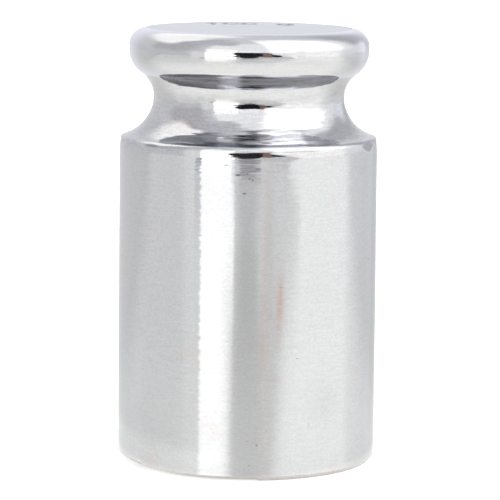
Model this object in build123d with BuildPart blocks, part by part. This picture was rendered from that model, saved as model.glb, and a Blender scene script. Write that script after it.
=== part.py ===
from build123d import *
from math import acos, asin, atan2, cos, degrees, hypot, sin
import os

# Calibration weight, 100 g, turned in one piece from steel bar and then plated.
# A plain cylindrical body carries a waisted neck and a round lifting knob.
# Millimetres. The base plane is Z = 0 and the turning axis is Z.

# diameters and height that the piece is turned to
body_diameter = 21.9
neck_diameter = 16.25
knob_diameter = 20.4
overall_height = 36.6

# edges that are broken on the lathe
base_chamfer = 0.4
shoulder_edge_radius = 0.6
knob_top_radius = 1.6

# the waist: a wide cove on the shoulder and a tighter one under the knob
shoulder_cove_radius = 3.7
knob_cove_radius = 2.35
knob_underside_radius = 2.3
knob_flank_length = 0.9

body_radius = body_diameter / 2
neck_radius = neck_diameter / 2
knob_radius = knob_diameter / 2

# shoulder: a convex edge and a concave cove meet on one tangent and step in to the neck
shoulder_radii = shoulder_edge_radius + shoulder_cove_radius
shoulder_turn = acos(1 - (body_radius - neck_radius) / shoulder_radii)
shoulder_rise = shoulder_radii * sin(shoulder_turn)

# knob: cove and underside step out again, with a straight flank tangent to both
knob_radii = knob_cove_radius + knob_underside_radius
knob_step = knob_radius - neck_radius
centre_distance = hypot(knob_radii, knob_flank_length)
knob_turn = atan2(knob_radii, knob_flank_length) + asin((knob_step - knob_radii) / centre_distance)
knob_rise = knob_radii * sin(knob_turn) + knob_flank_length * cos(knob_turn)

# heights of the knob's widest line, the narrowest line of the neck and the top of the straight wall
knob_height = overall_height - knob_top_radius
neck_height = knob_height - knob_rise
wall_height = neck_height - shoulder_rise

upward = (0, 1)

with BuildPart() as weight_body:
    with BuildSketch(Plane.XZ):
        with BuildLine():
            # flat foot, chamfer and straight wall of the body
            foot = Line((0, 0), (body_radius - base_chamfer, 0))
            foot_edge = Line(foot @ 1, (body_radius, base_chamfer))
            wall = Line(foot_edge @ 1, (body_radius, wall_height))
            # shoulder edge, cove and neck
            shoulder = JernArc(wall @ 1, upward, shoulder_edge_radius, degrees(shoulder_turn))
            neck_below = JernArc(shoulder @ 1, shoulder % 1, shoulder_cove_radius, -degrees(shoulder_turn))
            neck_above = JernArc(neck_below @ 1, upward, knob_cove_radius, -degrees(knob_turn))
            # knob: flank, rounded underside, rounded top edge and flat top
            flank_end = neck_above @ 1 + (neck_above % 1) * knob_flank_length
            flank = Line(neck_above @ 1, flank_end)
            underside = JernArc(flank @ 1, flank % 1, knob_underside_radius, degrees(knob_turn))
            top_edge = JernArc(underside @ 1, upward, knob_top_radius, 90)
            top = Line(top_edge @ 1, (0, overall_height))
            axis_line = Line(top @ 1, foot @ 0)
        make_face()
    revolve(axis=Axis.Z)
weight_body.part.label = "weight_body"

os.makedirs("parts", exist_ok=True)
export_step(weight_body.part, "parts/weight_body.step")
print("volume mm3", round(weight_body.part.volume, 1), "wall height", round(wall_height, 2))
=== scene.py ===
import math

import bpy
from mathutils import Matrix, Vector, noise


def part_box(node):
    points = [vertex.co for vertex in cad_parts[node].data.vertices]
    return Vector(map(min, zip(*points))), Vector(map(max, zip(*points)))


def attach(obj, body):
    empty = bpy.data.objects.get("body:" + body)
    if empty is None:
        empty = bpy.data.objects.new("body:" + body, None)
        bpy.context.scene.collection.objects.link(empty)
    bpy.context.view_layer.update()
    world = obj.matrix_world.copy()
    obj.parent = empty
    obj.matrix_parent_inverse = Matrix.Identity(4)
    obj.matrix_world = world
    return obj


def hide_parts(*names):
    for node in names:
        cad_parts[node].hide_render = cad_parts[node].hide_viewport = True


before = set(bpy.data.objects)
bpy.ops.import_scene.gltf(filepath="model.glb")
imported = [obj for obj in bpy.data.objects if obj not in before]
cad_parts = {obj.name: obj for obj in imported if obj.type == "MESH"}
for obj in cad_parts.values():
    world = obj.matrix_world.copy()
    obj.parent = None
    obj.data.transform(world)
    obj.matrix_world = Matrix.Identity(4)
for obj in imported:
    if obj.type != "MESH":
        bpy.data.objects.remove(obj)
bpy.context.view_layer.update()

nodeLow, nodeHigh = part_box("weight_body")
mm = 0.001
print("frame loaded, weight is", round((nodeHigh.z - nodeLow.z) / mm, 2), "mm tall")


# small helpers

def addObject(name, mesh):
    thing = bpy.data.objects.new(name, mesh)
    bpy.context.scene.collection.objects.link(thing)
    return thing


def newMaterial(name):
    material = bpy.data.materials.new(name)
    material.use_nodes = True
    material.node_tree.nodes.clear()
    return material, material.node_tree


def addNode(tree, kind, **settings):
    node = tree.nodes.new(kind)
    for key, value in settings.items():
        setattr(node, key, value)
    return node


def wire(tree, source, target):
    tree.links.new(source, target)


def maths(tree, operation, first, second=None, third=None, clamp=False):
    node = addNode(tree, "ShaderNodeMath", operation=operation, use_clamp=clamp)
    for slotIndex, value in enumerate((first, second, third)):
        if value is None:
            continue
        if isinstance(value, (int, float)):
            node.inputs[slotIndex].default_value = value
        else:
            wire(tree, value, node.inputs[slotIndex])
    return node.outputs[0]


def vectorMaths(tree, operation, first, second=None, scale=None):
    node = addNode(tree, "ShaderNodeVectorMath", operation=operation)
    for slotIndex, value in enumerate((first, second)):
        if value is None:
            continue
        if isinstance(value, (tuple, list)):
            node.inputs[slotIndex].default_value = value
        else:
            wire(tree, value, node.inputs[slotIndex])
    if scale is not None:
        if isinstance(scale, (int, float)):
            node.inputs["Scale"].default_value = scale
        else:
            wire(tree, scale, node.inputs["Scale"])
    return node.outputs["Value"] if operation in ("LENGTH", "DOT_PRODUCT") else node.outputs["Vector"]


def ramp(tree, value, start, end, low=0.0, high=1.0, eased=True):
    # low up to start, high from end on, and eased or straight between them
    node = addNode(tree, "ShaderNodeMapRange", interpolation_type="SMOOTHSTEP" if eased else "LINEAR")
    wire(tree, value, node.inputs["Value"])
    for socket, number in (("From Min", start), ("From Max", end), ("To Min", low), ("To Max", high)):
        node.inputs[socket].default_value = number
    return node.outputs["Result"]


def blend(tree, kind, factor, first, second):
    # mixes two colours, each a tuple, a number or a socket
    mix = addNode(tree, "ShaderNodeMix", data_type="RGBA", blend_type=kind)
    for socket, value in (("Factor", factor), ("A", first), ("B", second)):
        if isinstance(value, (int, float)):
            mix.inputs[socket].default_value = value
        elif isinstance(value, tuple):
            mix.inputs[socket].default_value = (*value, 1)
        else:
            wire(tree, value, mix.inputs[socket])
    return mix.outputs["Result"]


def between(tree, factor, first, second):
    mix = addNode(tree, "ShaderNodeMix", data_type="FLOAT")
    for socket, value in (("Factor", factor), ("A", first), ("B", second)):
        wire(tree, value, mix.inputs[socket])
    return mix.outputs["Result"]


def newGroup(name, inputs, outputs):
    # a node group with number inputs and their starting values, and outputs of the kinds given
    group = bpy.data.node_groups.new(name, "ShaderNodeTree")
    kinds = {"number": "NodeSocketFloat", "colour": "NodeSocketColor", "direction": "NodeSocketVector"}
    for socketName, start in inputs:
        socket = group.interface.new_socket(socketName, in_out="INPUT", socket_type=kinds["number"])
        socket.default_value = start
    for socketName, kind in outputs:
        group.interface.new_socket(socketName, in_out="OUTPUT", socket_type=kinds[kind])
    return group, addNode(group, "NodeGroupInput").outputs, addNode(group, "NodeGroupOutput").inputs


def named(columns, rows):
    # a dictionary for each row of a table
    return {name: dict(zip(columns, row)) for name, row in rows.items()}


# the turned body

weightShape = {
    "aroundCount": 384,         # facets round the axis
    "neckDiameter": 16.25,      # the rest is in mm, as the piece is turned
    "knobDiameter": 20.4,
    "baseChamfer": 0.4,
    "shoulderEdgeRadius": 0.4,
    "shoulderCoveRadius": 3.42,
    "ringsEndAt": 25.0,         # degrees short of the narrowest line where the tool's rings fade out
    "knobCoveRadius": 2.35,
    "knobUndersideRadius": 2.3,
    "knobFlankLength": 0.154,
    "knobTopRadius": 1.85,      # height of the knob's widest line below the top
    "knobBandRadius": 4.2,      # gentler curve just above that line, and how far it turns, in degrees
    "knobBandTurn": 6.5,
    "wallTopEase": 0.64,        # length over which the wall leans in below the shoulder edge
    "wallTopEaseRadius": 4.2,
    "handPolish": {"foot": 0, "edge": 0.002, "wall": 0.004, "shoulder": 0.007, "neck": 0.008, "knob": 0.012,
                   "top": 0.003},   # how far polishing has dipped each stretch
    "polishSpread": 2.6,        # mm round, for each dip
    "polishFlatten": 1.6,
    "seed": 7.3,
}

# where a mark lies: its middle in degrees and mm, and half its width and height in mm
markPlacing = ("bearing", "height", "width", "tall")

# dents pressed into the plating: their depth in mm, how far their inside is greyed and roughened,
# and how they narrow upward
dents = named((*markPlacing, "depth", "dull", "taper"), {
    "shoulder_dent": (66.5, 27.05, 1.2, 0.42, 0.025, 0.8, 0.5),
    "left_bruise": (-47.0, 27.3, 0.8, 0.1, 0.012, 0.6, 0.0),
    "foot_bruise": (-58.0, 0.34, 1.1, 0.3, 0.03, 0.6, 0.0),
    "knob_ding": (24.5, 34.95, 0.6, 0.36, 0.012, 0.1, 0.0),
})

# pinholes and short scratches in the wall, and how dark they are
pinholes = named((*markPlacing, "dark"), {
    "upper_scratch": (-4.3, 25.33, 0.24, 0.1, 0.75),
    "lower_scratch": (-1.5, 23.84, 0.22, 0.1, 0.6),
    "left_scratch": (-9.3, 26.12, 0.2, 0.07, 0.55),
    "chip_a": (2.0, 24.93, 0.13, 0.11, 0.5),
    "chip_b": (0.7, 25.02, 0.18, 0.09, 0.4),
    "chip_c": (-0.3, 25.46, 0.14, 0.1, 0.4),
    "chip_d": (4.3, 25.86, 0.28, 0.07, 0.35),
    "right_chip": (68.0, 17.6, 0.2, 0.1, 0.3),
    "middle_hole": (6.6, 13.95, 0.1, 0.06, 0.3),
    "rust_hole": (14.8, 16.1, 0.2, 0.07, 0.3),
    "low_hole": (4.7, 3.05, 0.12, 0.1, 0.5),
    "low_speck": (0.6, 3.4, 0.09, 0.08, 0.3),
    "foot_speck": (1.5, 1.35, 0.12, 0.08, 0.3),
    "right_speck": (28.2, 4.6, 0.08, 0.1, 0.3),
    "strip_speck": (-9.1, 1.4, 0.12, 0.06, 0.25),
})

# painted reflection on the tool's chatter rings: dark lines on the shoulder and the neck, where the rings
# are real and their darkness is painted
scoreShaded = named((*markPlacing, "strength"), {
    "front": (2.0, 28.1, 1.5, 0.62, 0.65),
    "neck": (0.5, 30.62, 1.3, 0.22, 0.6),
    "trail": (18.0, 28.75, 3.6, 0.14, 0.7),
    "low_trail": (14.0, 27.2, 3.4, 0.12, 0.5),
    "left_trail": (-16.0, 28.2, 3.6, 0.3, 0.35),
})

# brown stains on the plating
stains = named((*markPlacing, "strength"), {
    "long_streak": (8.3, 20.5, 0.32, 6.5, 0.26),
    "rust_streak": (14.4, 14.9, 0.3, 2.0, 0.8),
    "rust_tail": (13.4, 12.2, 0.26, 1.1, 0.22),
    "low_streak": (6.6, 11.0, 0.3, 2.0, 0.22),
    "neck_speckle": (-33.0, 29.0, 1.6, 0.5, 0.16),
})

# where the plating is dulled, greyed and made rougher: by handling, and on the left of the shoulder
smudges = named((*markPlacing, "dull"), {
    "right_smudge": (37.0, 6.3, 2.0, 1.9, 0.12),
    "left_shoulder_dulling": (-66.0, 28.3, 3.0, 1.2, 0.4),
    "dull_streak": (10.4, 19.0, 0.3, 8.0, 0.1),
})

# marks lie outside these radii, in mm, and end at these squared distances from their middle
markLimits = {"dentBeyond": 9.0, "beyond": 8.0, "dentEnd": 1.6, "stainEnd": 4.0}

# number engraved on top: middle and letter height in mm, + away from the front, and the room that it takes
engraving = {"text": "100 g", "middleX": -0.1, "middleY": 5.3, "tall": 2.0, "advance": 1.55,
             "halfWidth": 0.17, "depth": 0.12, "ringsBeyond": 2.2, "ringsWithin": 1.7, "sideRoom": 4.4,
             "startsAt": 3.0}

# the foot's edge is rubbed unevenly, from one bearing round to the other, and breaks off in a small nick
footWear = {"from": -100.0, "fadeIn": 30.0, "to": 5.8, "nick": 1.6, "lift": 0.08, "inset": 0.5,
            "corner": 0.26, "cornerAt": -82.0, "cornerWidth": 26.0}


def arcRun(centreR, centreZ, radius, startAngle, endAngle, count):
    run = []
    for step in range(1, count + 1):
        angle = startAngle + (endAngle - startAngle) * step / count
        run.append((centreR + radius * math.cos(angle), centreZ + radius * math.sin(angle)))
    return run


def straightRun(start, end, count):
    run = []
    for step in range(1, count + 1):
        share = step / count
        run.append((start[0] + (end[0] - start[0]) * share, start[1] + (end[1] - start[1]) * share))
    return run


def weightOutline(shape):
    # half section from the foot's centre to the top's centre, in mm, with the finish of each stretch,
    # and the height of the neck's narrowest line
    bodyRadius = nodeHigh.x / mm
    height = nodeHigh.z / mm
    neckRadius = shape["neckDiameter"] / 2
    knobRadius = shape["knobDiameter"] / 2
    chamfer = shape["baseChamfer"]
    edge, cove = shape["shoulderEdgeRadius"], shape["shoulderCoveRadius"]
    knobCove, under, flank = shape["knobCoveRadius"], shape["knobUndersideRadius"], shape["knobFlankLength"]
    top = shape["knobTopRadius"]

    shoulderTurn = math.acos(1 - (bodyRadius - neckRadius) / (edge + cove))
    knobRadii = knobCove + under
    knobTurn = math.atan2(knobRadii, flank)
    knobTurn += math.asin((knobRadius - neckRadius - knobRadii) / math.hypot(knobRadii, flank))
    knobHeight = height - top
    neckHeight = knobHeight - knobRadii * math.sin(knobTurn) - flank * math.cos(knobTurn)
    wallHeight = neckHeight - (edge + cove) * math.sin(shoulderTurn)

    rows = [(0.0, 0.0, "foot")]

    def lay(run, finish):
        rows.extend((r, z, finish) for r, z in run)

    lay(straightRun((0, 0), (bodyRadius - chamfer, 0), 10), "foot")
    lay(straightRun((bodyRadius - chamfer, 0), (bodyRadius, chamfer), 5), "edge")
    lay(straightRun((bodyRadius, chamfer), (bodyRadius, chamfer + 1), 4), "wall")
    lay(straightRun((bodyRadius, chamfer + 1), (bodyRadius, wallHeight - 5), 28), "wall")
    easeLength, easeRadius = shape["wallTopEase"], shape["wallTopEaseRadius"]
    lay(straightRun((bodyRadius, wallHeight - 5), (bodyRadius, wallHeight - easeLength), 16), "wall")
    for step in range(1, 9):
        up = easeLength * step / 8
        rows.append((bodyRadius - up * up / (2 * easeRadius), wallHeight - easeLength + up, "wall"))
    easeTurn = easeLength / easeRadius
    easeIn = easeLength * easeTurn / 2
    for r, z in arcRun(bodyRadius - edge, wallHeight, edge, easeTurn, shoulderTurn, 10):
        left = (shoulderTurn - math.atan2(z - wallHeight, r - bodyRadius + edge)) / (shoulderTurn - easeTurn)
        back = easeIn - edge * (1 - math.cos(easeTurn))
        rows.append((r - back * left, z - edge * math.sin(easeTurn) * left, "shoulder"))
    coveCentre = neckRadius + cove
    ringTurn = math.radians(shape["ringsEndAt"])
    lay(arcRun(coveCentre, neckHeight, cove, math.pi + shoulderTurn, math.pi + ringTurn, 22), "shoulder")
    lay(arcRun(coveCentre, neckHeight, cove, math.pi + ringTurn, math.pi, 14), "neck")
    knobCoveCentre = neckRadius + knobCove
    lay(arcRun(knobCoveCentre, neckHeight, knobCove, math.pi, math.pi - knobTurn, 22), "neck")
    flankStart = rows[-1]
    flankEnd = (flankStart[0] + flank * math.sin(knobTurn), flankStart[1] + flank * math.cos(knobTurn))
    lay(straightRun(flankStart, flankEnd, 4), "knob")
    lay(arcRun(knobRadius - under, knobHeight, under, -knobTurn, 0, 22), "knob")
    # the knob's outer edge opens gently and tightens towards the top
    flatTurn, flatRadius = math.radians(shape["knobBandTurn"]), shape["knobBandRadius"]
    tightRadius = (top - flatRadius * math.sin(flatTurn)) / (1 - math.sin(flatTurn))
    lay(arcRun(knobRadius - flatRadius, knobHeight, flatRadius, 0, flatTurn, 8), "knob")
    tightR = knobRadius - (flatRadius - tightRadius) * (1 - math.cos(flatTurn)) - tightRadius
    lay(arcRun(tightR, height - tightRadius, tightRadius, flatTurn, math.pi / 2, 20), "knob")
    numberOut = engraving["middleY"] + engraving["ringsBeyond"]
    numberIn = engraving["middleY"] - engraving["ringsWithin"]
    lay(straightRun((tightR, height), (numberOut, height), 6), "top")
    lay(straightRun((numberOut, height), (numberIn, height), 36), "top")
    lay(straightRun((numberIn, height), (0, height), 7), "top")
    return rows, neckHeight


def ellipseRun(centreX, centreY, radiusX, radiusY, startDegrees, endDegrees, count=24):
    run = []
    for step in range(count + 1):
        angle = math.radians(startDegrees + (endDegrees - startDegrees) * step / count)
        run.append((centreX + radiusX * math.cos(angle), centreY + radiusY * math.sin(angle)))
    return run


# strokes of the engraved characters, in a box 0.6 wide and 1 tall
glyphStrokes = {
    "1": [[(0.12, 0.76), (0.34, 1.0), (0.34, 0.0)]],
    "0": [ellipseRun(0.3, 0.5, 0.28, 0.5, 0, 360)],
    "g": [ellipseRun(0.28, 0.36, 0.26, 0.3, 0, 360), [(0.54, 0.66), (0.54, -0.08)],
          ellipseRun(0.29, -0.08, 0.25, 0.24, 0, -150)],
    " ": [],
}


def softStep(share):
    share = min(1, max(0, share))
    return share * share * (3 - 2 * share)


def engravedStrokes(look):
    segments = []
    start = look["middleX"] - look["advance"] * len(look["text"]) / 2
    for index, sign in enumerate(look["text"]):
        for stroke in glyphStrokes[sign]:
            placed = [(start + look["advance"] * (index + 0.5) + (x - 0.3) * look["tall"],
                       look["middleY"] + (y - 0.5) * look["tall"]) for x, y in stroke]
            segments += list(zip(placed, placed[1:]))
    return segments


def engravedDepth(x, y, segments, look):
    nearest = 9.0
    for (x0, y0), (x1, y1) in segments:
        runX, runY = x1 - x0, y1 - y0
        share = min(1, max(0, ((x - x0) * runX + (y - y0) * runY) / (runX * runX + runY * runY)))
        nearest = min(nearest, math.hypot(x - x0 - share * runX, y - y0 - share * runY))
    return look["depth"] * softStep(1.5 - nearest / look["halfWidth"])


finishes = ["foot", "edge", "wall", "shoulder", "neck", "knob", "top"]


def bearingOf(angle):
    # bearing from the front, in degrees, + to the right
    return (math.degrees(angle) + 90 + 180) % 360 - 180


def markFar(mark, bearing, r, z):
    # squared distance of a point from the middle of a mark, in its half width and half height
    off = (bearing - mark["bearing"] + 180) % 360 - 180
    upright = (z - mark["height"]) / mark["tall"]
    sideways = math.radians(off) * r / mark["width"] / max(0.25, 1 + mark.get("taper", 0) * upright)
    return sideways * sideways + upright * upright


def rubbedFoot(r, z, bearing, shape, wear):
    # moves a point of the foot's edge in and up where the edge is rubbed
    outer = nodeHigh.x / mm
    chamfer = shape["baseChamfer"]
    share = softStep((bearing - wear["from"]) / wear["fadeIn"])
    share *= softStep((wear["to"] - bearing) / wear["nick"] + 0.5)
    corner = wear["corner"] * math.exp(-((bearing - wear["cornerAt"]) / wear["cornerWidth"]) ** 2)
    if z < chamfer and r > outer - chamfer - 1e-6:
        up = z / chamfer
        r -= share * wear["inset"] * (1 - up) ** 2 + corner * (1 - up)
        z += share * wear["lift"] * up * (1 - up) * 2 + corner * up
    elif z <= chamfer + 1 and r > outer - 1e-6:
        z += corner * (1 - (z - chamfer))
    elif z < 1e-6 and r > 0:
        r *= 1 - (share * wear["inset"] + corner) * (r / (outer - chamfer)) ** 3 / outer
    return r, z


def marksAt(bearing, r, z):
    # how far a point is pressed in, in mm, how grey and brown the plating is there, and how much painted
    # score shade it takes
    sink = dull = brown = scoreShade = 0.0
    for dent in dents.values():
        far = markFar(dent, bearing, r, z)
        if far < markLimits["dentEnd"] and r > markLimits["dentBeyond"]:
            pressed = softStep(1.75 - 1.4 * far)
            sink += dent["depth"] * pressed
            dull = max(dull, dent["dull"] * pressed)
    for mark in scoreShaded.values():
        if r > markLimits["beyond"]:
            scoreShade += mark["strength"] * softStep(1.5 - markFar(mark, bearing, r, z))
    for mark in (*stains.values(), *smudges.values()):
        far = markFar(mark, bearing, r, z)
        if far < markLimits["stainEnd"] and r > markLimits["beyond"]:
            brown += mark.get("strength", 0) * math.exp(-far)
            dull += mark.get("dull", 0) * math.exp(-far)
    return sink, dull, brown, scoreShade


def buildWeight(shape):
    rows, neckHeight = weightOutline(shape)
    around = shape["aroundCount"]
    normals = []
    for before, after in zip(rows[:1] + rows, rows[1:] + rows[-1:]):
        run, rise = after[0] - before[0], after[1] - before[1]
        length = math.hypot(run, rise)
        normals.append((rise / length, -run / length))
    points = []
    attributes = {"arcLength": [], "dullMark": [], "brownMark": [], "scoreShadeMark": []}

    def addPoint(x, y, r, z, *values):
        points.append((r * mm * x, r * mm * y, z * mm))
        for series, value in zip(attributes.values(), values):
            series.append(value)

    travelled = 0.0
    ringStart = []
    strokes = engravedStrokes(engraving)
    spread = shape["polishSpread"]
    for index, (r, z, finish) in enumerate(rows):
        if index:
            travelled += math.hypot(r - rows[index - 1][0], z - rows[index - 1][1])
        ringStart.append(len(points))
        if r < 1e-6:
            addPoint(0.0, 0.0, r, z, travelled, 0.0, 0.0, 0.0)
            continue
        outR, outZ = normals[index]
        polish = shape["handPolish"][finish]
        if index + 1 < len(rows):
            polish = min(polish, shape["handPolish"][rows[index + 1][2]])
        for step in range(around):
            angle = 2 * math.pi * step / around
            bearing = bearingOf(angle)
            x, y = math.cos(angle), math.sin(angle)
            pointR, pointZ = r, z
            sink, dull, brown, scoreShade = marksAt(bearing, r, z)
            if polish:
                up = z / spread * shape["polishFlatten"] + shape["seed"]
                spot = Vector((x * r / spread, y * r / spread, up))
                sink += polish * softStep(noise.noise(spot) * 0.8 + 0.5)
            if finish == "top" and abs(x * r) < engraving["sideRoom"] and y * r > engraving["startsAt"]:
                sink += engravedDepth(x * r, y * r, strokes, engraving)
            if z < shape["baseChamfer"] + 1.01:
                pointR, pointZ = rubbedFoot(pointR, pointZ, bearing, shape, footWear)
            pointR -= outR * sink
            pointZ -= outZ * sink
            addPoint(x, y, pointR, pointZ, travelled, dull, brown, scoreShade)
    faces = []
    slots = []
    for index in range(1, len(rows)):
        low, high = ringStart[index - 1], ringStart[index]
        for step in range(around):
            after = (step + 1) % around
            if rows[index - 1][0] < 1e-6:
                faces.append((low, high + after, high + step))
            elif rows[index][0] < 1e-6:
                faces.append((low + step, low + after, high))
            else:
                faces.append((low + step, low + after, high + after, high + step))
        slots += [finishes.index(rows[index][2])] * around
    mesh = bpy.data.meshes.new("turned_weight")
    mesh.from_pydata(points, [], faces)
    mesh.polygons.foreach_set("material_index", slots)
    mesh.polygons.foreach_set("use_smooth", [True] * len(faces))
    for name, values in attributes.items():
        mesh.attributes.new(name, "FLOAT", "POINT").data.foreach_set("value", values)
    # the foot's two corners are crisp
    crisp = set()
    for index in range(1, len(rows) - 1):
        finish = rows[index][2]
        if finish in ("foot", "edge") and rows[index + 1][2] != finish:
            crisp.update((ringStart[index] + step, ringStart[index] + (step + 1) % around)
                         for step in range(around))
    sharpLayer = mesh.attributes.new("sharp_edge", "BOOLEAN", "EDGE")
    for edge in mesh.edges:
        pair = tuple(edge.vertices)
        if pair in crisp or pair[::-1] in crisp:
            sharpLayer.data[edge.index].value = True
    mesh.validate()
    mesh.update()
    return addObject("turned_weight", mesh), neckHeight


weight, neckLevel = buildWeight(weightShape)
print("turned weight built,", len(weight.data.polygons), "faces")


# the plating

# how the tool's marks run round the weight: cells in a radius, cells in a mm of section, detail, and a shift
toolMarks = named(("around", "along", "detail", "shift"), {
    "lean": (5.0, 7.0, 1.0, 3.1),
    "sway": (9.0, 5.5, 1.0, 17.4),
    "ridge": (3.2, 2.6, 1.0, 40.2),
    "streak": (9.0, 6.0, 1.0, 61.7),
    "brushed": (52.0, 8.0, 1.0, 9.3),
    "scoreShade": (4.0, 4.2, 2.0, 83.5),
})
toolLook = {
    "chatterSide": (0.14, -0.99, 0),   # the tool chattered most on this side
    "chatterFrom": 0.7,
    "chatterLeast": 0.25,
    "grainScale": 5200,
    "grainShare": 0.8,
    "scoreShadeContrast": 5.0,
    "scoreShadeLevel": 0.55,
}


def lathePlace(group):
    # where a point lies on the turned surface: bearing as a circle of 1, and mm along the section
    place = addNode(group, "ShaderNodeTexCoord").outputs["Object"]
    circle = vectorMaths(group, "NORMALIZE", vectorMaths(group, "MULTIPLY", place, (1, 1, 0)))
    along = addNode(group, "ShaderNodeAttribute", attribute_name="arcLength").outputs["Fac"]
    return place, circle, along


def latheNoise(group, circle, along, mark):
    # noise drawn out round the axis, about 0
    look = toolMarks[mark]
    lift = addNode(group, "ShaderNodeCombineXYZ")
    wire(group, maths(group, "MULTIPLY_ADD", along, look["along"], look["shift"]), lift.inputs["Z"])
    grain = addNode(group, "ShaderNodeTexNoise")
    grain.inputs["Scale"].default_value = 1
    grain.inputs["Detail"].default_value = look["detail"]
    rounded = vectorMaths(group, "SCALE", circle, scale=look["around"])
    wire(group, vectorMaths(group, "ADD", rounded, lift.outputs[0]), grain.inputs["Vector"])
    return maths(group, "SUBTRACT", grain.outputs["Fac"], 0.5)


def buildTurnedMarks(look):
    # fine turning: each ring leans a little up or down, and a little left or right
    group, given, result = newGroup("turnedMarks", [("Lean", 0.02), ("Bristle", 0.01), ("Ridges", 0.0)],
                                    [("Normal", "direction"), ("Streak", "number"), ("Grain", "number"),
                                     ("ScoreShade", "number")])
    place, circle, along = lathePlace(group)
    facing = addNode(group, "ShaderNodeNewGeometry").outputs["Normal"]
    sideways = vectorMaths(group, "CROSS_PRODUCT", (0, 0, 1), circle)
    upward = vectorMaths(group, "CROSS_PRODUCT", facing, sideways)
    front = vectorMaths(group, "DOT_PRODUCT", circle, look["chatterSide"])
    chatter = ramp(group, front, look["chatterFrom"], 1.0, low=look["chatterLeast"])
    ridge = maths(group, "MULTIPLY", latheNoise(group, circle, along, "ridge"), chatter)
    lean = maths(group, "MULTIPLY", latheNoise(group, circle, along, "lean"), given["Lean"])
    lean = maths(group, "MULTIPLY_ADD", ridge, given["Ridges"], lean)
    sway = maths(group, "MULTIPLY", latheNoise(group, circle, along, "sway"), given["Bristle"])
    tipped = vectorMaths(group, "ADD", facing, vectorMaths(group, "SCALE", upward, scale=lean))
    tipped = vectorMaths(group, "ADD", tipped, vectorMaths(group, "SCALE", sideways, scale=sway))
    wire(group, vectorMaths(group, "NORMALIZE", tipped), result["Normal"])
    # bright and dark lines left by the tool, broken up by a fine grain
    grain = addNode(group, "ShaderNodeTexNoise")
    grain.inputs["Scale"].default_value = look["grainScale"]
    grain.inputs["Detail"].default_value = 1
    wire(group, place, grain.inputs["Vector"])
    fine = maths(group, "SUBTRACT", grain.outputs["Fac"], 0.5)
    line = maths(group, "MULTIPLY_ADD", fine, look["grainShare"], latheNoise(group, circle, along, "streak"))
    wire(group, maths(group, "ADD", line, 0.5, clamp=True), result["Streak"])
    # short brushed grain
    brushed = latheNoise(group, circle, along, "brushed")
    wire(group, maths(group, "ADD", brushed, 0.5, clamp=True), result["Grain"])
    # noise that breaks up the painted score shade
    scoreShade = latheNoise(group, circle, along, "scoreShade")
    scoreShade = maths(group, "MULTIPLY_ADD", scoreShade, look["scoreShadeContrast"], look["scoreShadeLevel"], clamp=True)
    wire(group, scoreShade, result["ScoreShade"])
    return group


pitFlatten = 1.7
hazeLook = {"detail": 4, "roughness": 0.6, "from": 0.35, "to": 0.7}
stainLook = {"detail": 2, "scale": 1.4, "shift": (31.0, 7.0, 12.0), "from": 0.58, "to": 0.78,
             "tint": (1.0, 0.9, 0.84)}


def buildPlatePits():
    # scattered pinholes in the plating, a little flattened
    group, given, result = newGroup("platePits", [("Spacing", 2.0), ("Size", 0.07), ("Share", 0.3)],
                                    [("Mask", "number")])
    place = addNode(group, "ShaderNodeTexCoord").outputs["Object"]
    spot = vectorMaths(group, "SCALE", place, scale=1 / mm)
    spot = vectorMaths(group, "MULTIPLY", spot, (1, 1, pitFlatten))
    cells = addNode(group, "ShaderNodeTexVoronoi", feature="F1")
    wire(group, maths(group, "DIVIDE", 1.0, given["Spacing"]), cells.inputs["Scale"])
    wire(group, spot, cells.inputs["Vector"])
    chance = addNode(group, "ShaderNodeSeparateColor")
    wire(group, cells.outputs["Color"], chance.inputs[0])
    chosen = maths(group, "LESS_THAN", chance.outputs["Red"], given["Share"])
    away = maths(group, "MULTIPLY", cells.outputs["Distance"], given["Spacing"])
    reach = maths(group, "MULTIPLY", given["Size"], maths(group, "ADD", chance.outputs["Green"], 0.5))
    near = maths(group, "SUBTRACT", 1.0, maths(group, "DIVIDE", away, reach), clamp=True)
    near = maths(group, "MULTIPLY", near, 2.0, clamp=True)
    wire(group, maths(group, "MULTIPLY", near, chosen), result["Mask"])
    return group


def buildPinholes(marks):
    # the listed pinholes, each an ellipse on the wall
    group, given, result = newGroup("wallPinholes", [("Softness", 0.5)], [("Mask", "number")])
    place = addNode(group, "ShaderNodeTexCoord").outputs["Object"]
    total = 0.0
    for mark in marks.values():
        turn = math.radians(mark["bearing"])
        local = addNode(group, "ShaderNodeMapping", vector_type="TEXTURE")
        local.inputs["Location"].default_value = (nodeHigh.x * math.sin(turn), -nodeHigh.x * math.cos(turn),
                                                  mark["height"] * mm)
        local.inputs["Rotation"].default_value = (0, 0, turn)
        local.inputs["Scale"].default_value = (mark["width"] * mm, mm, mark["tall"] * mm)
        wire(group, place, local.inputs["Vector"])
        far = vectorMaths(group, "LENGTH", local.outputs["Vector"])
        inside = maths(group, "DIVIDE", maths(group, "SUBTRACT", 1.0, far), given["Softness"], clamp=True)
        total = maths(group, "MAXIMUM", maths(group, "MULTIPLY", inside, mark["dark"]), total)
    wire(group, total, result["Mask"])
    return group


# painted reflection: plating seen in plating is given a darker colour and comes back softer, but a brighter
# one where it turns to the large softbox, towards the strip light, and low on the shoulder in front
secondBounce = {"shade": 0.66, "towardsSoftbox": 1.5, "belowNeck": 0.48, "towardsStrip": 0.26,
                "underLine": 0.65, "roughness": 0.1, "tint": (0.98, 0.985, 1.05)}
# those places: radians to the right of the front, and the cosines off it at which each is gone and is full
bounceSides = {"softbox": (0.45, 0.925, 0.97), "strip": (-0.23, 0.985, 0.997), "front": (0.2, 0.83, 0.92)}
lineDepth = (2.75, 3.35)   # mm below the neck's narrowest line where the last of them starts, and is full


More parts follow.
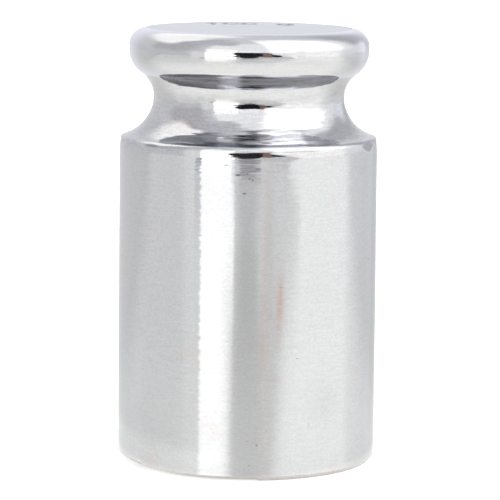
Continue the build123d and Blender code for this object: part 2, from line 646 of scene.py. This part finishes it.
def buildInnerReflection(sides, depths):
    # painted reflection: how bright the plating is made, by bearing and height, when it is seen in the
    # plating beside it
    group, given, result = newGroup("innerReflection",
                                    [("Shade", 0.6), ("Towards Softbox", 1.1), ("Below Neck", 0.5),
                                     ("Towards Strip", 0.3), ("Under Line", 0.3)], [("Level", "number")])
    place, circle = lathePlace(group)[:2]

    def towards(turn, gone, full):
        side = vectorMaths(group, "DOT_PRODUCT", circle, (math.sin(turn), -math.cos(turn), 0))
        return ramp(group, side, gone, full)

    parts = addNode(group, "ShaderNodeSeparateXYZ")
    wire(group, place, parts.inputs[0])
    height = parts.outputs["Z"]
    over = between(group, towards(*sides["softbox"]), given["Shade"], given["Towards Softbox"])
    strip = towards(*sides["strip"])
    under = maths(group, "MULTIPLY_ADD", strip, given["Towards Strip"], given["Below Neck"])
    low = ramp(group, height, (neckLevel - depths[0]) * mm, (neckLevel - depths[1]) * mm)
    line = maths(group, "MULTIPLY", low, towards(*sides["front"]))
    under = maths(group, "MULTIPLY_ADD", line, given["Under Line"], under)
    above = maths(group, "GREATER_THAN", height, neckLevel * mm)
    wire(group, between(group, above, under, over), result["Level"])
    return group


def buildHandlingHaze(look, stain):
    # dull patches and faint warm stains left by handling
    group, given, result = newGroup("handlingHaze", [("Scale", 0.3), ("Stain", 0.3)],
                                    [("Haze", "number"), ("Tint", "colour")])
    place = addNode(group, "ShaderNodeTexCoord").outputs["Object"]
    spot = vectorMaths(group, "SCALE", place, scale=1 / mm)
    cloud = addNode(group, "ShaderNodeTexNoise")
    cloud.inputs["Detail"].default_value = look["detail"]
    cloud.inputs["Roughness"].default_value = look["roughness"]
    wire(group, given["Scale"], cloud.inputs["Scale"])
    wire(group, spot, cloud.inputs["Vector"])
    wire(group, ramp(group, cloud.outputs["Fac"], look["from"], look["to"]), result["Haze"])
    blot = addNode(group, "ShaderNodeTexNoise")
    blot.inputs["Detail"].default_value = stain["detail"]
    wire(group, maths(group, "MULTIPLY", given["Scale"], stain["scale"]), blot.inputs["Scale"])
    wire(group, vectorMaths(group, "ADD", spot, stain["shift"]), blot.inputs["Vector"])
    patch = ramp(group, blot.outputs["Fac"], stain["from"], stain["to"])
    stained = maths(group, "MULTIPLY", patch, given["Stain"])
    wire(group, blend(group, "MIX", stained, (1, 1, 1), stain["tint"]), result["Tint"])
    return group


turnedMarks = buildTurnedMarks(toolLook)
platePits = buildPlatePits()
handlingHaze = buildHandlingHaze(hazeLook, stainLook)
wallPinholes = buildPinholes(pinholes)
innerReflection = buildInnerReflection(bounceSides, lineDepth)

# how each stretch of the weight is finished
plateColumns = ("colour", "smooth", "hazy", "lean", "bristle", "ridges", "grain", "lines", "pits", "stain")
plateFinish = named(plateColumns, {
    "foot": ((0.56, 0.56, 0.57), 0.24, 0.34, 0.12, 0.03, 0.05, 0.2, 0.3, 0.4, 0.5),
    "edge": ((0.54, 0.52, 0.52), 0.16, 0.26, 0.06, 0.06, 0.0, 0.1, 0.15, 0.3, 0.6),
    "wall": ((0.615, 0.616, 0.628), 0.05, 0.09, 0.022, 0.055, 0.0, 0.13, 0.05, 0.22, 0.4),
    "shoulder": ((0.62, 0.62, 0.63), 0.04, 0.08, 0.1, 0.1, 0.4, 0.1, 0.16, 0.3, 0.3),
    "neck": ((0.62, 0.62, 0.63), 0.04, 0.09, 0.09, 0.07, 0.04, 0.08, 0.12, 0.3, 0.3),
    "knob": ((0.62, 0.62, 0.63), 0.04, 0.09, 0.06, 0.05, 0.0, 0.06, 0.06, 0.15, 0.2),
    # painted shade: the top is the same plating as the rest, given a darker and bluer colour
    "top": ((0.44, 0.455, 0.525), 0.07, 0.12, 0.006, 0.006, 0.0, 0.04, 0.06, 0.3, 0.3),
})
plateRimSheen = {"knob": (0.86, 0.86, 0.95)}   # painted sheen: the knob's colour turns brighter and bluer at a shallow angle
rimFacing = (0.5, 0.85)
# the score colour is painted shade for the dark lines on the shoulder and the neck
markColours = {"stain": (0.56, 0.38, 0.32), "dull": (0.3, 0.3, 0.32), "pit": (0.12, 0.11, 0.11),
               "scoreShade": (0.13, 0.13, 0.14), "pinhole": (0.07, 0.07, 0.075)}
stainLines = (2.4, -0.2)   # how strongly the tool's lines break up a stain
pitShade = 0.75
pitDepth = {"strength": 0.6, "distance": 0.00003}
dullRoughness = 0.25


def plateMaterial(name, look):
    material, tree = newMaterial("chrome_" + name)

    def addGroup(group, values):
        node = addNode(tree, "ShaderNodeGroup", node_tree=group)
        for socket, value in values.items():
            node.inputs[socket].default_value = value
        return node.outputs

    def readMark(attribute):
        return addNode(tree, "ShaderNodeAttribute", attribute_name=attribute).outputs["Fac"]

    marks = addGroup(turnedMarks, {"Lean": look["lean"], "Bristle": look["bristle"],
                                   "Ridges": look["ridges"]})
    pits = addGroup(platePits, {"Share": look["pits"]})["Mask"]
    haze = addGroup(handlingHaze, {"Stain": look["stain"]})
    dull = readMark("dullMark")
    glossyRay = addNode(tree, "ShaderNodeLightPath").outputs["Is Glossy Ray"]
    surface = addNode(tree, "ShaderNodeBsdfPrincipled")

    plate = blend(tree, "MULTIPLY", 1.0, look["colour"], haze["Tint"])
    for socket, key in (("Streak", "lines"), ("Grain", "grain")):
        shade = ramp(tree, marks[socket], 0, 1, 1 - look[key], 1 + look[key], eased=False)
        plate = blend(tree, "MULTIPLY", 1.0, plate, shade)
    # painted sheen: brighter, bluer colour at a shallow angle on the knob
    if name in plateRimSheen:
        shallow = addNode(tree, "ShaderNodeLayerWeight")
        plate = blend(tree, "MIX", ramp(tree, shallow.outputs["Facing"], *rimFacing), plate, plateRimSheen[name])
    # a brown stain is broken up by the tool's lines
    broken = maths(tree, "MULTIPLY_ADD", marks["Streak"], *stainLines, clamp=True)
    rusty = maths(tree, "MULTIPLY", readMark("brownMark"), broken)
    plate = blend(tree, "MIX", rusty, plate, markColours["stain"])
    plate = blend(tree, "MIX", dull, plate, markColours["dull"])
    plate = blend(tree, "MIX", maths(tree, "MULTIPLY", pits, pitShade), plate, markColours["pit"])
    # painted reflection: dark score lines stand in for dark surroundings mirrored in the tool's chatter
    # rings
    scoreShadeMask = maths(tree, "MULTIPLY", readMark("scoreShadeMark"), marks["ScoreShade"], clamp=True)
    plate = blend(tree, "MIX", scoreShadeMask, plate, markColours["scoreShade"])
    if name == "wall":
        plate = blend(tree, "MIX", addGroup(wallPinholes, {})["Mask"], plate, markColours["pinhole"])
    inner = addGroup(innerReflection, {"Shade": secondBounce["shade"],
                                       "Below Neck": secondBounce["belowNeck"],
                                       "Towards Softbox": secondBounce["towardsSoftbox"],
                                       "Towards Strip": secondBounce["towardsStrip"],
                                       "Under Line": secondBounce["underLine"]})
    # painted reflection: for reflected rays the plating's colour is scaled by that level
    again = blend(tree, "MULTIPLY", 1.0, inner["Level"], secondBounce["tint"])
    wire(tree, blend(tree, "MULTIPLY", glossyRay, plate, again), surface.inputs["Base Color"])
    roughness = ramp(tree, haze["Haze"], 0, 1, look["smooth"], look["hazy"], eased=False)
    roughness = maths(tree, "MULTIPLY_ADD", dull, dullRoughness, roughness)
    roughness = maths(tree, "MULTIPLY_ADD", glossyRay, secondBounce["roughness"], roughness)
    wire(tree, roughness, surface.inputs["Roughness"])
    surface.inputs["Metallic"].default_value = 1
    sunk = addNode(tree, "ShaderNodeBump", invert=True)
    sunk.inputs["Strength"].default_value = pitDepth["strength"]
    sunk.inputs["Distance"].default_value = pitDepth["distance"]
    wire(tree, pits, sunk.inputs["Height"])
    wire(tree, marks["Normal"], sunk.inputs["Normal"])
    wire(tree, sunk.outputs["Normal"], surface.inputs["Normal"])
    output = addNode(tree, "ShaderNodeOutputMaterial")
    wire(tree, surface.outputs["BSDF"], output.inputs["Surface"])
    return material


for finish in finishes:
    weight.data.materials.append(plateMaterial(finish, plateFinish[finish]))

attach(weight, "root")
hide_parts("weight_body")
print("plated finishes set")


# the ground

floorLook = {
    "size": 1.6,             # metres
    "sink": 0.00001,
    "albedo": (0.86, 0.86, 0.86),
    "seenInPlate": (0.87, 0.87, 0.835),   # warmer in the plating
    "roughness": 0.22,
    "cameraLift": 0.52,      # added for the camera, so that the ground reads white and keeps its shadow
    "rearShade": 0.76,       # the ground behind the weight is darker in the plating
    "rearFade": (0.005, 0.055),     # metres behind the axis
    "glow": 0.27,            # painted glow, seen only in the plating: an opal sheet lit from beneath
    "glowFade": (0.026, 0.11),      # metres from the axis where it starts to fade, and where it is gone
    "glowPower": 4.0,        # how much less of it comes out at a shallow angle
    "glowRearLoss": 0.85,
    "glowRearFade": (-0.005, 0.03),
    "glowSide": 0.03,        # painted light: extra glow on the side with the large softbox
    "sideBearing": 62.0,
    "sideFade": (0.02, 0.1),
    "glowNear": 0.24,        # painted pool of light at the foot, seen only in the plating
    "nearFade": (0.0112, 0.0145),
    "glowFootLeft": 0.16,    # and more of that painted light on the left of the foot
    "leftFade": (0.001, 0.008),
    "leftAway": (0.017, 0.027),
    "tint": (1.0, 1.0, 0.96),
}


def buildFloor(look):
    half = look["size"] / 2
    mesh = bpy.data.meshes.new("studio_floor")
    corners = [(-half, -half, 0), (half, -half, 0), (half, half, 0), (-half, half, 0)]
    mesh.from_pydata(corners, [], [(0, 1, 2, 3)])
    floor = addObject("studio_floor", mesh)
    floor.location.z = -look["sink"]
    material, tree = newMaterial("white_acrylic_floor")
    path = addNode(tree, "ShaderNodeLightPath").outputs
    plain = addNode(tree, "ShaderNodeBsdfDiffuse")
    plain.inputs["Color"].default_value = (*look["albedo"], 1)
    acrylic = addNode(tree, "ShaderNodeBsdfPrincipled")
    acrylic.inputs["Roughness"].default_value = look["roughness"]
    pick = addNode(tree, "ShaderNodeMixShader")
    wire(tree, path["Is Camera Ray"], pick.inputs["Fac"])
    wire(tree, acrylic.outputs["BSDF"], pick.inputs[1])
    wire(tree, plain.outputs["BSDF"], pick.inputs[2])
    place = addNode(tree, "ShaderNodeTexCoord").outputs["Object"]
    away = vectorMaths(tree, "LENGTH", place)

    def towards(direction, key):
        return ramp(tree, vectorMaths(tree, "DOT_PRODUCT", place, direction), *look[key])

    def within(key):
        return maths(tree, "SUBTRACT", 1.0, ramp(tree, away, *look[key]))

    rearColour = tuple(part * look["rearShade"] for part in look["seenInPlate"])
    shaded = blend(tree, "MIX", towards((0, 1, 0), "rearFade"), look["seenInPlate"], rearColour)
    wire(tree, shaded, acrylic.inputs["Base Color"])
    side = math.radians(look["sideBearing"])
    # painted pools of light: the ground glows for reflected rays only, most near the foot and fading outward
    pool = maths(tree, "MULTIPLY", within("glowFade"), look["glow"])
    beside = towards((math.sin(side), -math.cos(side), 0), "sideFade")
    pool = maths(tree, "MULTIPLY_ADD", beside, look["glowSide"], pool)
    kept = maths(tree, "MULTIPLY_ADD", towards((0, 1, 0), "glowRearFade"), -look["glowRearLoss"], 1.0)
    pool = maths(tree, "MULTIPLY", pool, kept)
    through = maths(tree, "SUBTRACT", 1.0, addNode(tree, "ShaderNodeFresnel").outputs[0])
    pool = maths(tree, "MULTIPLY", pool, maths(tree, "POWER", through, look["glowPower"]))
    pool = maths(tree, "MULTIPLY_ADD", within("nearFade"), look["glowNear"], pool)
    left = maths(tree, "MULTIPLY", towards((-1, 0, 0), "leftFade"), within("leftAway"))
    pool = maths(tree, "MULTIPLY_ADD", left, look["glowFootLeft"], pool)
    shown = maths(tree, "MAXIMUM", path["Is Glossy Ray"], path["Is Transmission Ray"])
    strength = maths(tree, "MULTIPLY", path["Is Camera Ray"], look["cameraLift"])
    strength = maths(tree, "MULTIPLY_ADD", shown, pool, strength)
    lift = addNode(tree, "ShaderNodeEmission")
    lift.inputs["Color"].default_value = (*look["tint"], 1)
    wire(tree, strength, lift.inputs["Strength"])
    both = addNode(tree, "ShaderNodeAddShader")
    wire(tree, pick.outputs[0], both.inputs[0])
    wire(tree, lift.outputs[0], both.inputs[1])
    output = addNode(tree, "ShaderNodeOutputMaterial")
    wire(tree, both.outputs[0], output.inputs["Surface"])
    mesh.materials.append(material)
    return floor


buildFloor(floorLook)
print("floor laid")


# the studio round the weight

# soft lights and flags as seen from the weight: bearing in degrees from the camera, + to its right,
# heights in degrees above the table, later ones laid over earlier ones
studioLights = named(("bearing", "width", "low", "high", "blur", "glow", "tint"), {
    "ceiling": (0, 400, 55, 120, 30, 0.95, (0.96, 0.98, 1.04)),
    "left_flag": (-82, 52, 4, 78, 18, 0.66, (0.98, 0.98, 1.03)),
    "left_low": (-84, 80, -40, 5, 12, 0.78, (0.985, 0.99, 1.03)),
    "rear_left_low": (-138, 56, -40, 14, 20, 0.8, (0.98, 0.98, 1.03)),
    "rear_right_flag": (142, 42, -20, 54, 26, 0.62, (0.97, 0.98, 1.04)),
    "rear_right_low": (125, 42, -40, 15, 14, 1.05, (0.97, 0.98, 1.04)),
    "rear_window": (180, 26, -14, -1, 8, 1.2, (0.97, 0.98, 1.03)),
    "rear_left_softbox": (-133, 84, 33, 68, 14, 1.45, (1.0, 1.0, 0.985)),
    "front_ceiling": (2, 46, 14, 62, 18, 1.24, (0.99, 1.0, 1.02)),
    "over_camera": (0, 26, 4, 19, 8, 1.36, (0.99, 1.0, 1.02)),
    "front_left_flag": (-46, 60, 44, 73, 16, 0.74, (0.96, 0.98, 1.04)),
    "right_low": (66, 60, -40, 12, 22, 1.52, (1.0, 1.0, 0.97)),
    "right_spill": (66, 102, 4, 92, 26, 1.3, (0.99, 1.0, 1.01)),
    "right_softbox": (61, 80, 9, 76, 12, 2.0, (1.0, 1.0, 1.0)),
    "strip_side": (-50, 16, -40, 12, 10, 1.05, (1.0, 1.0, 1.0)),
    "strip_top": (-28, 28, 12, 44, 12, 1.3, (1.0, 1.0, 1.0)),
    "strip_wall": (-27.5, 27, -40, 22, 6, 1.8, (1.0, 1.0, 1.0)),
})


def buildPatchGroup():
    # 1 inside a patch of the studio, fading out over its blur
    group, given, result = newGroup("studioPatch",
                                    [("Bearing", 0), ("Height", 0), ("Middle", 0), ("Width", 30),
                                     ("Low", 0), ("High", 30), ("Blur", 5)], [("Mask", "number")])
    away = maths(group, "SUBTRACT", given["Bearing"], given["Middle"])
    away = maths(group, "WRAP", away, 180.0, -180.0)
    halfWidth = maths(group, "MULTIPLY", given["Width"], 0.5)
    side = maths(group, "SUBTRACT", halfWidth, maths(group, "ABSOLUTE", away))
    above = maths(group, "SUBTRACT", given["Height"], given["Low"])
    below = maths(group, "SUBTRACT", given["High"], given["Height"])
    mask = 1.0
    for distance in (side, above, below):
        share = maths(group, "ADD", maths(group, "DIVIDE", distance, given["Blur"]), 0.5, clamp=True)
        mask = maths(group, "MULTIPLY", share, mask)
    wire(group, ramp(group, mask, 0, 1), result["Mask"])
    return group


worldLook = {
    "background": 1.0,      # what the camera sees
    "around": (0.855, 0.86, 0.9),
}


def buildWorld(look, lights):
    patch = buildPatchGroup()
    world = bpy.data.worlds.new("studio_world")
    world.use_nodes = True
    tree = world.node_tree
    tree.nodes.clear()
    parts = addNode(tree, "ShaderNodeSeparateXYZ")
    wire(tree, addNode(tree, "ShaderNodeTexCoord").outputs["Generated"], parts.inputs[0])
    toDegrees = 180 / math.pi
    bearing = maths(tree, "ARCTAN2", parts.outputs["X"], maths(tree, "MULTIPLY", parts.outputs["Y"], -1.0))
    bearing = maths(tree, "MULTIPLY", bearing, toDegrees)
    height = maths(tree, "MULTIPLY", maths(tree, "ARCSINE", parts.outputs["Z"]), toDegrees)
    shown = look["around"]
    for name, light in lights.items():
        shape = addNode(tree, "ShaderNodeGroup", node_tree=patch, label=name)
        wire(tree, bearing, shape.inputs["Bearing"])
        wire(tree, height, shape.inputs["Height"])
        for socket, key in (("Middle", "bearing"), ("Width", "width"), ("Low", "low"), ("High", "high"),
                            ("Blur", "blur")):
            shape.inputs[socket].default_value = light[key]
        colour = tuple(light["glow"] * part for part in light["tint"])
        shown = blend(tree, "MIX", shape.outputs["Mask"], shown, colour)
    around = addNode(tree, "ShaderNodeBackground")
    wire(tree, shown, around.inputs["Color"])
    white = addNode(tree, "ShaderNodeBackground")
    white.inputs["Strength"].default_value = look["background"]
    white.inputs["Color"].default_value = (1, 1, 1, 1)
    pick = addNode(tree, "ShaderNodeMixShader")
    wire(tree, addNode(tree, "ShaderNodeLightPath").outputs["Is Camera Ray"], pick.inputs["Fac"])
    wire(tree, around.outputs[0], pick.inputs[1])
    wire(tree, white.outputs[0], pick.inputs[2])
    output = addNode(tree, "ShaderNodeOutputWorld")
    wire(tree, pick.outputs[0], output.inputs["Surface"])
    bpy.context.scene.world = world


buildWorld(worldLook, studioLights)

# curved cards about the axis: bearing in degrees from the camera, lowest and highest point in mm there;
# a card can change its level from one height to the next, in mm
cards = {
    "camera_foot": {"distance": 247, "glow": 0.42, "tint": (0.95, 0.95, 1.05),
                    "outline": [(-9, 3, 5), (-6, 0, 9), (0, 0, 12), (5, 0, 9), (11, 1, 4)]},
    "camera_body": {"distance": 250, "glow": 0.02, "tint": (0.9, 0.9, 1.1),
                    "outline": [(-18, 53, 56), (-15.5, 48, 61), (-12.5, 41, 65), (-10, 33, 68), (-9, 20, 68),
                                (-5, 14, 68), (5, 14, 68), (9, 20, 68), (10, 27, 68), (15, 28, 68),
                                (21, 30, 58), (27, 32, 46), (32, 36, 38)]},
    "left_grip": {"distance": 248, "glow": 0.16, "tint": (1.0, 0.76, 0.7),
                  "outline": [(-24, 26, 28), (-18, 25, 32), (-14, 25, 37), (-9.5, 23, 42)]},
    "right_grip": {"distance": 248, "glow": 0.3, "tint": (1.0, 0.7, 0.56),
                   "outline": [(12.5, 26, 60), (14, 25, 68), (19, 25, 68), (21, 28, 50)]},
    "grey_skirt": {"distance": 256, "glow": 0.83, "tint": (1.0, 1.0, 1.02),
                   "outline": [(-11.5, 0, 30), (26, 0, 36), (33, 0, 38), (38, 4, 29), (42, 7, 23),
                               (45, 10, 18), (47, 13, 15)]},
    "strip_softbox": {"distance": 268, "glow": 1.75, "tint": (1.0, 1.0, 1.0),
                      "levels": [(13, 1.25), (22, 1.8), (56, 1.8), (70, 0.9)],
                      "outline": [(-41.3, 0, 145), (-15.4, 0, 145), (-12.4, 9, 145), (-10.6, 12, 38),
                                  (-9.0, 16, 30)]},
    "rear_foot": {"distance": 285, "glow": 2.3, "tint": (0.97, 0.98, 1.05),
                  "outline": [(162, 0, 22), (198, 0, 22)]},
    "strip_frame": {"distance": 266, "glow": 0.62, "tint": (0.92, 0.94, 1.12),
                    "outline": [(-46.5, 0, 13), (-41.3, 0, 13)]},
}


cardFacets = 36


def buildCard(name, look):
    outline = look["outline"]
    count = cardFacets
    points = []
    faces = []
    for step in range(count + 1):
        bearing = outline[0][0] + (outline[-1][0] - outline[0][0]) * step / count
        reached = [index for index in range(1, len(outline)) if outline[index][0] >= bearing]
        last = reached[0] if reached else len(outline) - 1
        first, second = outline[last - 1], outline[last]
        share = min(1, max(0, (bearing - first[0]) / (second[0] - first[0])))
        low = first[1] + (second[1] - first[1]) * share
        high = first[2] + (second[2] - first[2]) * share
        turn = math.radians(bearing)
        x, y = math.sin(turn) * look["distance"] * mm, -math.cos(turn) * look["distance"] * mm
        points += [(x, y, low * mm), (x, y, high * mm)]
        if step:
            end = 2 * step
            faces.append((end - 2, end, end + 1, end - 1))
    mesh = bpy.data.meshes.new(name)
    mesh.from_pydata(points, [], faces)
    card = addObject(name, mesh)
    material, tree = newMaterial(name + "_glow")
    glow = addNode(tree, "ShaderNodeEmission")
    glow.inputs["Color"].default_value = (*look["tint"], 1)
    glow.inputs["Strength"].default_value = look["glow"]
    if "levels" in look:
        parts = addNode(tree, "ShaderNodeSeparateXYZ")
        wire(tree, addNode(tree, "ShaderNodeTexCoord").outputs["Object"], parts.inputs[0])
        level = look["levels"][0][1]
        for (low, before), (high, after) in zip(look["levels"], look["levels"][1:]):
            risen = ramp(tree, parts.outputs["Z"], low * mm, high * mm, high=after - before, eased=False)
            level = maths(tree, "ADD", risen, level)
        wire(tree, maths(tree, "MULTIPLY", level, look["glow"]), glow.inputs["Strength"])
    output = addNode(tree, "ShaderNodeOutputMaterial")
    wire(tree, glow.outputs[0], output.inputs["Surface"])
    mesh.materials.append(material)
    card.visible_camera = False
    card.visible_shadow = False
    card.visible_diffuse = False
    return card


for cardName, cardLook in cards.items():
    buildCard(cardName, cardLook)
print("studio set")


# the camera

cameraLook = {
    "distance": 0.2433,      # metres in front of the axis
    "height": 0.0516,
    "sideways": 0.000214,
    "downTilt": 7.93,        # degrees
    "roll": 0.55,
    "lens": 207.9,           # mm on a 36 mm sensor
}


def buildCamera(look):
    data = bpy.data.cameras.new("studio_camera")
    data.sensor_width = 36
    data.lens = look["lens"]
    data.clip_start, data.clip_end = 0.01, 10
    camera = addObject("studio_camera", data)
    tilt = Matrix.Rotation(math.radians(90 - look["downTilt"]), 4, "X")
    roll = Matrix.Rotation(math.radians(look["roll"]), 4, "Z")
    place = Matrix.Translation((look["sideways"], -look["distance"], look["height"]))
    camera.matrix_world = place @ tilt @ roll
    bpy.context.scene.camera = camera


buildCamera(cameraLook)
bpy.context.scene.view_settings.view_transform = "Standard"
